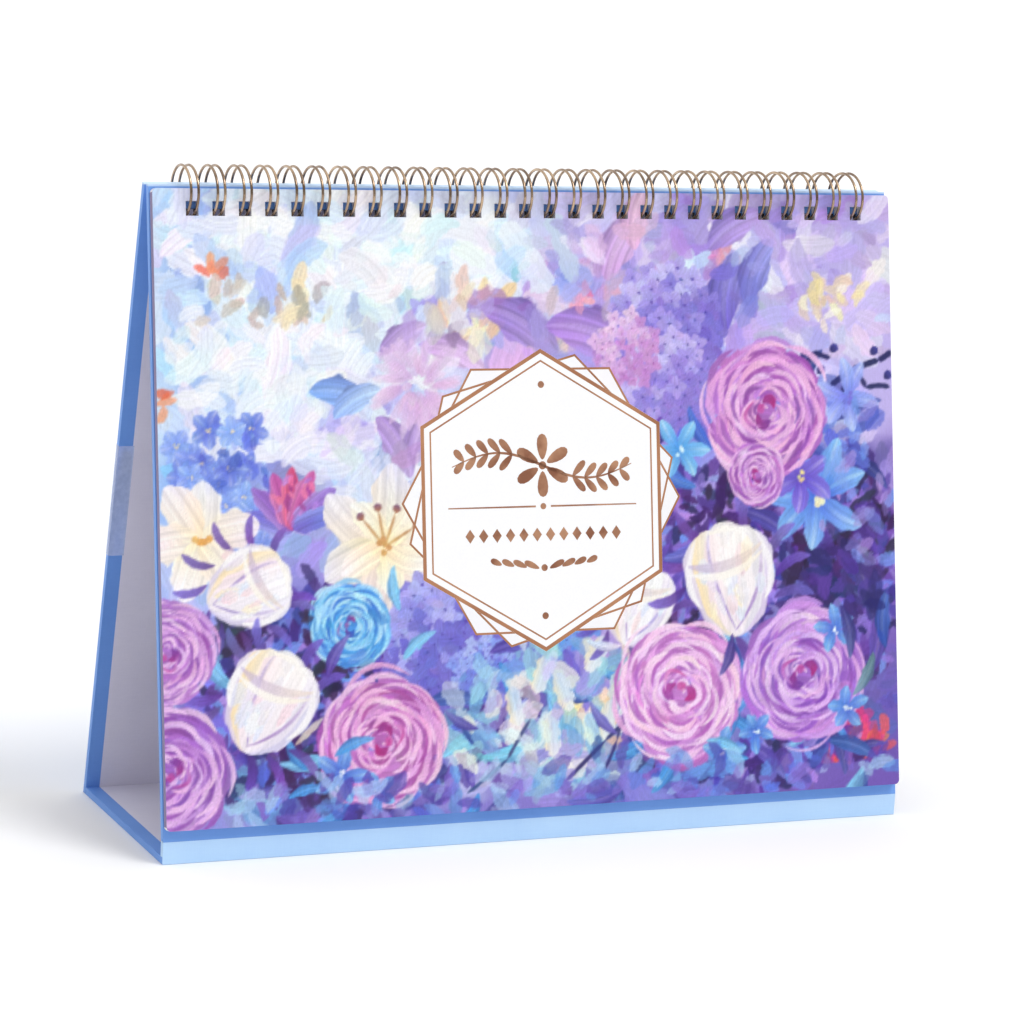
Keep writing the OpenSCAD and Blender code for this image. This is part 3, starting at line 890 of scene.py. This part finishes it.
def paint_at(x, u):
    """The painting's linear colour at each point of the leaf."""
    px, pu = (x / MM + ART_W / 2) / DOT, u / MM / DOT
    xi = np.clip(px.astype(int), 0, COLS - 2)
    ui = np.clip(pu.astype(int), 0, ROWS - 2)
    fx, fu = (px - xi)[..., None], (pu - ui)[..., None]
    art = ((canvas[ui, xi] * (1 - fx) + canvas[ui, xi + 1] * fx) * (1 - fu)
           + (canvas[ui + 1, xi] * (1 - fx) + canvas[ui + 1, xi + 1] * fx) * fu)
    return linear(art).reshape(-1, 3)


def kept_cells(xs, us):
    """Which cells of the mesh are paper, not hole."""
    cx, cu = (xs[:-1] + xs[1:]) / 2, (us[:-1] + us[1:]) / 2
    hole = cx / HOLE_PITCH + (HOLES - 1) / 2
    in_x = (np.abs(hole - np.round(hole)) * HOLE_PITCH < HOLE_W / 2) & (np.abs(cx) < HOLES / 2 * HOLE_PITCH)
    in_u = np.abs(cu - (LEAF_H - HOLE_DROP)) < HOLE_H / 2
    return ~(in_u[:, None] & in_x[None, :])


def painted_leaf():
    """The cover leaf as a fine sheet whose points carry the painting's colours."""
    xs, us = lines_across(), lines_up()
    gx, gu = np.meshgrid(xs, us)
    art = paint_at(gx, gu)
    gx, gu = round_corners(gx, gu)
    origin = leaf_origin("cover_leaf")
    front = (np.array(origin)[None, :] + gx.reshape(-1, 1) * np.array((1.0, 0, 0))
             + gu.reshape(-1, 1) * np.array(UP))
    index = np.arange(gx.size).reshape(gx.shape)
    a, b, c, d = index[:-1, :-1], index[:-1, 1:], index[1:, 1:], index[1:, :-1]
    faces = np.stack([a, b, c, d], -1)[kept_cells(xs, us)]
    used = np.unique(faces)
    new = np.full(index.size, -1)
    new[used] = np.arange(len(used))
    faces = new[faces]
    o = mesh_object("cover_painting", front[used], faces, cover_print)
    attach(o, "cover_leaf")
    colour = o.data.color_attributes.new("paint", "FLOAT_COLOR", "POINT")
    data = np.ones((len(used), 4), np.float32)
    data[:, :3] = art[used]
    colour.data.foreach_set("color", data.ravel())
    o.data.materials.append(leaf_paper.m)
    # the rim takes the cut edge paper, with its painted shade
    o.data.materials.append(shaded_edge_paper.m)
    solid = o.modifiers.new("thickness", "SOLIDIFY")
    solid.thickness = LEAF_T
    solid.offset = -1.0
    solid.use_even_offset = False
    solid.material_offset = 1
    solid.material_offset_rim = 2
    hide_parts("cover_leaf")


# the label: hexagons round a point at the middle of the leaf
LABEL_U = 97 * MM
LABEL_R = 41.4 * MM
# each outline's turn, its size against the label's, and half its width
HEXAGON_LINES = ((30, 1.0, 0.34 * MM), (-14.6, 0.987, 0.34 * MM), (0, 0.985, 0.6 * MM), (0, 0.92, 0.27 * MM))
STAR_COVER = 0.95


def hexagon_distance(k, x, u, turn):
    """How far out the hexagon through a point has its sides; at turn 0 it has a corner at the top."""
    found = None
    for side in range(3):
        a = math.radians(turn + 60 * side)
        along = k.math("ADD", k.math("MULTIPLY", x, math.cos(a)), k.math("MULTIPLY", u, math.sin(a)))
        d = k.math("ABSOLUTE", along)
        found = d if found is None else k.math("MAXIMUM", found, d)
    return found


def cover_material():
    """The printed painting with brush relief, and the white label with its bronze lines."""
    k = Nodes("cover_print")
    p = k.position()
    origin = leaf_origin("cover_leaf")
    x = k.split(p)[0]
    u = k.math("SUBTRACT", k.dot(p, UP), origin.dot(UP) + LABEL_U)
    hairs = k.noise(k.scaled(p, 2400, 500, 500), 1.0, 2.0, 0.6)
    grain = k.noise(p, 1500.0, 1.0)
    relief = k.math("ADD", k.math("MULTIPLY", hairs, 0.6), k.math("MULTIPLY", grain, 0.4))
    light = k.spread(relief, 0.93, 1.06)
    colour = k.times(k.attribute("paint"), light)
    inside = k.math("LESS_THAN", hexagon_distance(k, x, u, 0), LABEL_R)
    outside = k.math("SUBTRACT", 1.0, inside)
    lines, star = None, inside
    for turn, r, half in HEXAGON_LINES:
        d = hexagon_distance(k, x, u, turn)
        band = k.math("LESS_THAN", k.math("ABSOLUTE", k.math("SUBTRACT", d, LABEL_R * r)), half)
        if turn != 0:
            band = k.math("MULTIPLY", band, outside)
            point = k.math("MULTIPLY", k.math("LESS_THAN", d, LABEL_R * r), STAR_COVER)
            star = k.math("MAXIMUM", star, point)
        lines = band if lines is None else k.math("MAXIMUM", lines, band)
    white = k.mix(grain, srgb(252, 252, 252), srgb(246, 246, 248))
    colour = k.mix(star, colour, white)
    bronze = k.mix(k.noise(p, 90.0, 3.0), srgb(140, 84, 56), srgb(200, 146, 106))
    colour = k.mix(lines, colour, bronze)
    k.set(Base_Color=colour, Roughness=k.spread(grain, 0.38, 0.5), Specular_IOR_Level=0.4)
    k.bump(hairs, 0.12, 0.04 * MM)
    return k


cover_print = cover_material()
painted_leaf()


# ---------------------------------------------------------------- the label's ornament
def flat_shape(outline, origin, out):
    """An outline in millimetres, laid on the leaf."""
    return [on_leaf(origin, x * MM, u * MM, out) for x, u in outline]


def petal_outline(x, u, angle, length, width, n=14):
    """A drop shape, narrow where it starts at x, u and fuller towards its tip."""
    a = math.radians(angle)
    pts = []
    for i in range(n):
        t = 2 * math.pi * i / n
        out = (1 - math.cos(t)) / 2
        along, over = out * length, math.sin(t) * width / 2 * (0.55 + 0.45 * out)
        pts.append((x + along * math.cos(a) - over * math.sin(a),
                    u + along * math.sin(a) + over * math.cos(a)))
    return pts


def line_outline(points, width):
    """A tapering line along points."""
    left, right = [], []
    n = len(points)
    for i, (x, u) in enumerate(points):
        x0, u0 = points[max(i - 1, 0)]
        x1, u1 = points[min(i + 1, n - 1)]
        run = math.hypot(x1 - x0, u1 - u0)
        w = width / 2 * (0.25 + 0.75 * math.sin(math.pi * (i + 0.5) / n))
        dx, du = -(u1 - u0) / run * w, (x1 - x0) / run * w
        left.append((x + dx, u + du))
        right.append((x - dx, u - du))
    return left + right[::-1]


def disc_outline(x, u, r, n=20):
    return [(x + r * math.cos(2 * math.pi * i / n), u + r * math.sin(2 * math.pi * i / n)) for i in range(n)]


def bronze_material():
    k = Nodes("bronze_foil_ink")
    p = k.position()
    patch = k.noise(p, 140.0, 3.0)
    k.set(Base_Color=k.mix(k.range(patch, 0.35, 0.65), srgb(150, 98, 74), srgb(198, 148, 116)),
          Roughness=k.spread(k.noise(p, 2200.0, 2.0), 0.3, 0.42), Metallic=0.45)
    k.bump(patch, 0.05, 0.02 * MM)
    return k


bronze = bronze_material()


LABEL_MID = LABEL_U / MM
STEM_HALF, STEM_U, STEM_WAVE, STEM_POINTS, STEM_WIDE, LEAF_GAP = 31, 11, 4.2, 31, 0.9, 0.1
RULE_U, RULE_IN, RULE_OUT = 1.9, 2.6, 32.5
DOT_U = 36.5
MARK_PITCH, MARK_U, MARK_HALF_W, MARK_HALF_H = 4.6, 10.8, 1.6, 2.2
GARLAND_U, GARLAND_PITCH, GARLAND_PETALS, GARLAND_TILT = 21.5, 4.3, 4, 24
INK_BACK, INK_FRONT = 0.002 * MM, 0.012 * MM


def sprig():
    """A waving stem with paired leaves and a six-petalled flower at its middle."""
    mid = (STEM_POINTS - 1) // 2
    stem = [(-STEM_HALF + 2 * STEM_HALF * i / (STEM_POINTS - 1),
             LABEL_MID + STEM_U + STEM_WAVE * math.sin(i / (STEM_POINTS - 1) * 2 * math.pi))
            for i in range(STEM_POINTS)]
    shapes = [line_outline(stem, STEM_WIDE)]
    for i in range(2, STEM_POINTS - 2, 2):
        if abs(i - mid) < 4:
            continue
        for s in (-1, 1):
            a = 180 + s * 48 if i < mid else -s * 48
            shapes.append(petal_outline(*polar(*stem[i], a, LEAF_GAP), a, 7.4 - 0.2 * abs(i - mid), 2.9))
    x, u = stem[mid]
    for k in range(6):
        shapes.append(petal_outline(*polar(x, u, 60 * k + 30, 1.8), 60 * k + 30, 8.2, 4.6))
    return shapes + [disc_outline(x, u, 1.3)]


def rule_and_dots():
    """The rule in two halves with a dot between them, and a dot near the label's top and bottom."""
    u = LABEL_MID - RULE_U
    corners = ((RULE_IN, u + 0.3), (RULE_IN, u - 0.3), (RULE_OUT, u - 0.2), (RULE_OUT, u + 0.2))
    shapes = [[(s * x, v) for x, v in corners] for s in (-1, 1)] + [disc_outline(0, u, 1.0)]
    return shapes + [disc_outline(0, LABEL_MID + s * DOT_U, 1.1) for s in (1, -1)]


def month_marks():
    """Twelve small diamonds in a row."""
    u = LABEL_MID - MARK_U
    corners = ((0, MARK_HALF_H), (MARK_HALF_W, 0), (0, -MARK_HALF_H), (-MARK_HALF_W, 0))
    return [[((i - 5.5) * MARK_PITCH + x, u + v) for x, v in corners] for i in range(12)]


def garland():
    """Small petals lying outwards from a dot."""
    u = LABEL_MID - GARLAND_U
    shapes = []
    for s in (-1, 1):
        for j in range(GARLAND_PETALS):
            x, tilt = s * (1.8 + GARLAND_PITCH * j), 90 - s * (90 - GARLAND_TILT)
            shapes.append(petal_outline(x, u + 0.5 * j, tilt, 5.6 - 0.5 * j, 2.5))
    return shapes + [disc_outline(0, u + 0.2, 1.1)]


def label_ornament():
    """A drawn sprig above a rule, and a row of twelve small month marks, a garland and three dots."""
    shapes = sprig() + rule_and_dots() + month_marks() + garland()
    origin = leaf_origin("cover_leaf")
    verts, faces = [], []
    for s in shapes:
        area = sum(a[0] * b[1] - b[0] * a[1] for a, b in zip(s, s[1:] + s[:1]))
        s = s if area > 0 else s[::-1]
        base = len(verts)
        verts += flat_shape(s, origin, INK_FRONT)
        verts += flat_shape(s, origin, INK_BACK)
        n = len(s)
        faces.append(tuple(range(base, base + n)))
        faces.append(tuple(range(base + 2 * n - 1, base + n - 1, -1)))
        faces += [(base + i, base + n + i, base + n + (i + 1) % n, base + (i + 1) % n) for i in range(n)]
    o = mesh_object("label_ornament", verts, faces, bronze)
    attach(o, "cover_leaf")


label_ornament()


# ---------------------------------------------------------------- the month leaves
BAND_H = 40 * MM
# the grid's lower left corner on the leaf, and the size of a day's cell
GRID_X, GRID_U = 12 * MM, 10 * MM
CELL_W, CELL_H = 32.8 * MM, 28 * MM
GRID_COLUMNS, GRID_ROWS = 7, 5
GRID_LINE = 0.16 * MM
CUT_EDGE = 0.03 * MM
INK_T = 0.006 * MM
DAY_SIZE, MONTH_SIZE = 7.5 * MM, 24 * MM
DIGIT_STEPS = 3
# where a number stands: a day's in its cell, a month's from the leaf's left and upper edges
DAY_X, DAY_U = 2.5 * MM, 19.5 * MM
MONTH_X, MONTH_DROP = 14 * MM, 34 * MM
# the column of the year's first day, counted from 0
FIRST_COLUMN = 4
DAYS = [31, 28, 31, 30, 31, 30, 31, 31, 30, 31, 30, 31]
TINTS = [(186, 210, 244), (206, 196, 238), (226, 196, 226), (190, 222, 236), (212, 206, 242), (236, 206, 224),
         (180, 214, 238), (204, 190, 234), (240, 212, 206), (220, 200, 214), (196, 200, 236), (176, 196, 238)]


def month_material(i):
    """White paper printed with a tinted band and a grid of seven columns by five rows of days."""
    k = Nodes("month_leaf_%02d" % (i + 1))
    p = k.position()
    origin = leaf_origin(MONTHS[i] + "_leaf")
    x = k.math("ADD", k.split(p)[0], LEAF_W / 2)
    u = k.math("SUBTRACT", k.dot(p, UP), origin.dot(UP))
    out = k.math("SUBTRACT", k.dot(p, OUT), origin.dot(OUT))
    fibres = k.noise(k.scaled(p, 500, 2600, 2600), 1.0, 2.0)
    cloud = k.noise(p, 30.0, 3.0)
    paper = k.mix(cloud, srgb(252, 251, 248), srgb(245, 244, 242))
    front = k.math("GREATER_THAN", out, -LEAF_T / 2)
    watery = k.noise(k.scaled(p, 40, 40, 90), 1.0, 4.0, 0.6)
    band = k.math("MULTIPLY", k.math("GREATER_THAN", u, LEAF_H - BAND_H), front)
    colour = k.mix(k.math("MULTIPLY", band, k.spread(watery, 0.45, 0.95)), paper, srgb(*TINTS[i]))
    grid, lines = front, None
    for place, start, cell, count in ((x, GRID_X, CELL_W, GRID_COLUMNS), (u, GRID_U, CELL_H, GRID_ROWS)):
        at = k.math("DIVIDE", k.math("SUBTRACT", place, start), cell)
        off = k.math("ABSOLUTE", k.math("SUBTRACT", at, k.math("ROUND", at)))
        line = k.math("LESS_THAN", off, GRID_LINE / cell)
        lines = line if lines is None else k.math("MAXIMUM", lines, line)
        grid = k.math("MULTIPLY", grid, k.math("GREATER_THAN", at, -GRID_LINE / cell))
        grid = k.math("MULTIPLY", grid, k.math("LESS_THAN", at, count + GRID_LINE / cell))
    colour = k.mix(k.math("MULTIPLY", lines, grid), colour, srgb(*near(TINTS[i], NAVY, 0.55)))
    # the leaf's cut sides are painted darker lilac: painted shade on the white paper edges
    from_middle = k.math("ABSOLUTE", k.math("SUBTRACT", x, LEAF_W / 2))
    sides = k.math("GREATER_THAN", from_middle, LEAF_W / 2 - CUT_EDGE)
    colour = k.mix(sides, colour, srgb(146, 134, 170))
    k.set(Base_Color=colour, Roughness=k.spread(fibres, 0.52, 0.64), Specular_IOR_Level=0.35)
    k.bump(fibres, 0.2, 0.03 * MM)
    return k


def ink_material():
    k = Nodes("day_number_ink")
    patch = k.noise(k.position(), 900.0, 2.0)
    k.set(Base_Color=k.mix(patch, srgb(66, 62, 112), srgb(84, 80, 134)),
          Roughness=k.spread(patch, 0.45, 0.6))
    return k


ink = ink_material()


def digits_mesh(text, size):
    """A number as a thin closed plate, in metres, with its lower left corner at the origin."""
    curve = bpy.data.curves.new("digits", "FONT")
    curve.body = text
    curve.size = size
    curve.resolution_u = DIGIT_STEPS
    curve.extrude = INK_T / 2
    o = place("digits", curve)
    bpy.context.view_layer.update()
    me = bpy.data.meshes.new_from_object(o.evaluated_get(bpy.context.evaluated_depsgraph_get()))
    plate = bmesh.new()
    plate.from_mesh(me)
    bmesh.ops.remove_doubles(plate, verts=plate.verts, dist=INK_T / 8)
    bmesh.ops.recalc_face_normals(plate, faces=plate.faces)
    plate.verts.index_update()
    verts = [tuple(v.co) for v in plate.verts]
    faces = [tuple(v.index for v in f.verts) for f in plate.faces]
    plate.free()
    bpy.data.objects.remove(o)
    bpy.data.meshes.remove(me)
    return verts, faces


def add_number(verts, faces, number, origin, x, u):
    """Lays a number's plate on a leaf with its lower left corner at x, u."""
    v, f = number
    base = len(verts)
    verts += [on_leaf(origin, x + a, u + b, INK_T + c) for a, b, c in v]
    faces += [tuple(base + q for q in face) for face in f]


def month_leaves():
    """Prints each month leaf, and lays its day numbers and the month's own number on it."""
    day_numbers = {n: digits_mesh(str(n), DAY_SIZE) for n in range(1, max(DAYS) + 1)}
    column = FIRST_COLUMN
    for i, month in enumerate(MONTHS):
        name = month + "_leaf"
        paint(name, month_material(i))
        origin = leaf_origin(name)
        verts, faces = [], []
        for day in range(DAYS[i]):
            row = (column + day) // GRID_COLUMNS % GRID_ROWS
            x = GRID_X + (column + day) % GRID_COLUMNS * CELL_W + DAY_X - LEAF_W / 2
            u = GRID_U + (GRID_ROWS - 1 - row) * CELL_H + DAY_U
            add_number(verts, faces, day_numbers[day + 1], origin, x, u)
        month_number = digits_mesh(str(i + 1), MONTH_SIZE)
        add_number(verts, faces, month_number, origin, MONTH_X - LEAF_W / 2, LEAF_H - MONTH_DROP)
        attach(mesh_object(month + "_numbers", verts, faces, ink), name)
        column = (column + DAYS[i]) % GRID_COLUMNS


month_leaves()


# ---------------------------------------------------------------- the wire
WIRE_D = 0.86 * MM
LOOP_HIGH = 8.0 * MM
LOOP_DEEP = 9.5 * MM
TWIN = 2.35 * MM
BEND = 0.9 * MM
SEAM_HALF = 5.0
LOOP_STEPS, BEND_STEPS, WIRE_SIDES = 64, 5, 12
SAME_PLACE = 0.001 * MM


def wire_points():
    """One continuous wire: each loop's two rings, the closed tip between them, and the run to the next."""
    lo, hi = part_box("wire_binding")
    axis = Vector((0, (lo.y + hi.y) / 2, hi.z - WIRE_D / 2 - LOOP_HIGH))
    share = math.degrees(BEND / LOOP_HIGH)
    tip_end, gap_end = -90 + SEAM_HALF, 270 - SEAM_HALF

    def at(x, angle):
        a = math.radians(angle)
        return Vector((x, axis.y + LOOP_DEEP * math.cos(a), axis.z + LOOP_HIGH * math.sin(a)))

    def bend(x, side, angle, into):
        """Quarter bend from the straight run into a loop's end."""
        turns = [math.pi / 2 * t / BEND_STEPS for t in range(BEND_STEPS + 1)]
        return [at(x + side * BEND * (1 - math.sin(t)), angle + into * share * (1 - math.cos(t)))
                for t in turns]

    points = []
    for i in range(HOLES):
        x = (i - (HOLES - 1) / 2) * HOLE_PITCH
        left, right = x - TWIN / 2, x + TWIN / 2
        round_loop = np.linspace(tip_end + share, gap_end - share, LOOP_STEPS)[1:-1]
        if i > 0:
            points += bend(left, -1, gap_end, -1)
        points += [at(left, a) for a in round_loop[::-1]]
        points += bend(left, 1, tip_end, 1)[::-1]
        points += bend(right, -1, tip_end, 1)
        points += [at(right, a) for a in round_loop]
        if i < HOLES - 1:
            points += bend(right, 1, gap_end, -1)[::-1]
    return points


def tube(name, points, radius, sides, material):
    """A closed tube swept along points, with flat ends."""
    pts = np.array([tuple(p) for p in points])
    keep = np.r_[True, np.linalg.norm(np.diff(pts, axis=0), axis=1) > SAME_PLACE]
    pts = pts[keep]
    tangent = np.gradient(pts, axis=0)
    tangent /= np.linalg.norm(tangent, axis=1)[:, None]
    normal = np.cross(tangent[0], (1.0, 0, 0))
    normal /= np.linalg.norm(normal)
    rings = []
    for p, t in zip(pts, tangent):
        normal = normal - t * (normal @ t)
        normal /= np.linalg.norm(normal)
        other = np.cross(t, normal)
        a = np.linspace(0, 2 * math.pi, sides, endpoint=False)[:, None]
        rings.append(p + radius * (np.cos(a) * normal + np.sin(a) * other))
    verts = np.concatenate(rings)
    faces = []
    for i in range(len(pts) - 1):
        for j in range(sides):
            k = (j + 1) % sides
            faces.append((i * sides + j, i * sides + k, (i + 1) * sides + k, (i + 1) * sides + j))
    faces.append(tuple(range(sides))[::-1])
    last = (len(pts) - 1) * sides
    faces.append(tuple(range(last, last + sides)))
    return mesh_object(name, verts, faces, material, smooth=True)


wire = tube("twin_loop_wire", wire_points(), WIRE_D / 2, WIRE_SIDES, wire_metal)
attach(wire, "stand")
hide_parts("wire_binding")


# ---------------------------------------------------------------- floor, light and camera
FLOOR_HALF, FLOOR_BACK, FLOOR_CURVE, FLOOR_STEPS = 6.0, 2.5, 1.5, 12
FLOOR_DROP = 0.1 * MM


def floor():
    """A wide pale sheet that curves up far behind the object."""
    turns = np.linspace(0, math.pi / 2, FLOOR_STEPS)
    rows = [(-FLOOR_HALF, 0.0)]
    rows += [(FLOOR_BACK + FLOOR_CURVE * math.sin(t), FLOOR_CURVE * (1 - math.cos(t))) for t in turns]
    rows += [(FLOOR_BACK + FLOOR_CURVE, FLOOR_HALF)]
    verts = [(x, y, z - FLOOR_DROP) for y, z in rows for x in (-FLOOR_HALF, FLOOR_HALF)]
    faces = [(2 * i, 2 * i + 1, 2 * i + 3, 2 * i + 2) for i in range(len(rows) - 1)]
    k = Nodes("pale_floor")
    k.set(Base_Color=(0.94, 0.94, 0.945), Roughness=0.9)
    mesh_object("floor", verts, faces, k, smooth=True)


floor()


def soft_sun(name, towards, spread, strength):
    """A broad even light that comes from the direction towards."""
    data = bpy.data.lights.new(name, "SUN")
    data.angle = math.radians(spread)
    data.energy = strength
    o = place(name, data)
    o.rotation_mode = "QUATERNION"
    o.rotation_quaternion = (-Vector(towards)).to_track_quat("-Z", "Y")


soft_sun("key", (0.42, -0.55, 0.95), 24, 1.22)
soft_sun("overhead", (0.0, -0.05, 1.0), 80, 0.98)

# the studio's walls give half light, and are seen as plain white
WALL_LIGHT, WALL_SEEN = 0.5, 1.0
world = bpy.data.worlds.new("studio")
bpy.context.scene.world = world
world.use_nodes = True
tree = world.node_tree
seen = tree.nodes.new("ShaderNodeLightPath")
level = tree.nodes.new("ShaderNodeMapRange")
tree.links.new(seen.outputs["Is Camera Ray"], level.inputs[0])
level.inputs["To Min"].default_value = WALL_LIGHT
level.inputs["To Max"].default_value = WALL_SEEN
tree.links.new(level.outputs[0], tree.nodes["Background"].inputs["Strength"])
tree.nodes["Background"].inputs[0].default_value = (1, 1, 1, 1)
bpy.context.scene.view_settings.view_transform = "Standard"

# fitted to the photograph's view; lens and sensor in millimetres, as Blender counts them
LENS, SENSOR = 125.0216, 36.0
CAMERA_AT = (-0.45997, -1.02718, 0.31727)
YAW, PITCH, ROLL = (math.radians(a) for a in (24.159, 11.0547, 3.2475))
forward = Vector((math.sin(YAW) * math.cos(PITCH), math.cos(YAW) * math.cos(PITCH), -math.sin(PITCH)))
right = Vector((math.cos(YAW), -math.sin(YAW), 0))
above = right.cross(forward)
across = math.cos(ROLL) * right + math.sin(ROLL) * above
upward = -math.sin(ROLL) * right + math.cos(ROLL) * above
cam_data = bpy.data.cameras.new("camera")
cam_data.sensor_width = SENSOR
cam_data.lens = LENS
cam = place("camera", cam_data)
turned = Matrix((across, upward, -forward)).transposed().to_4x4()
turned.translation = Vector(CAMERA_AT)
cam.matrix_world = turned
bpy.context.scene.camera = cam
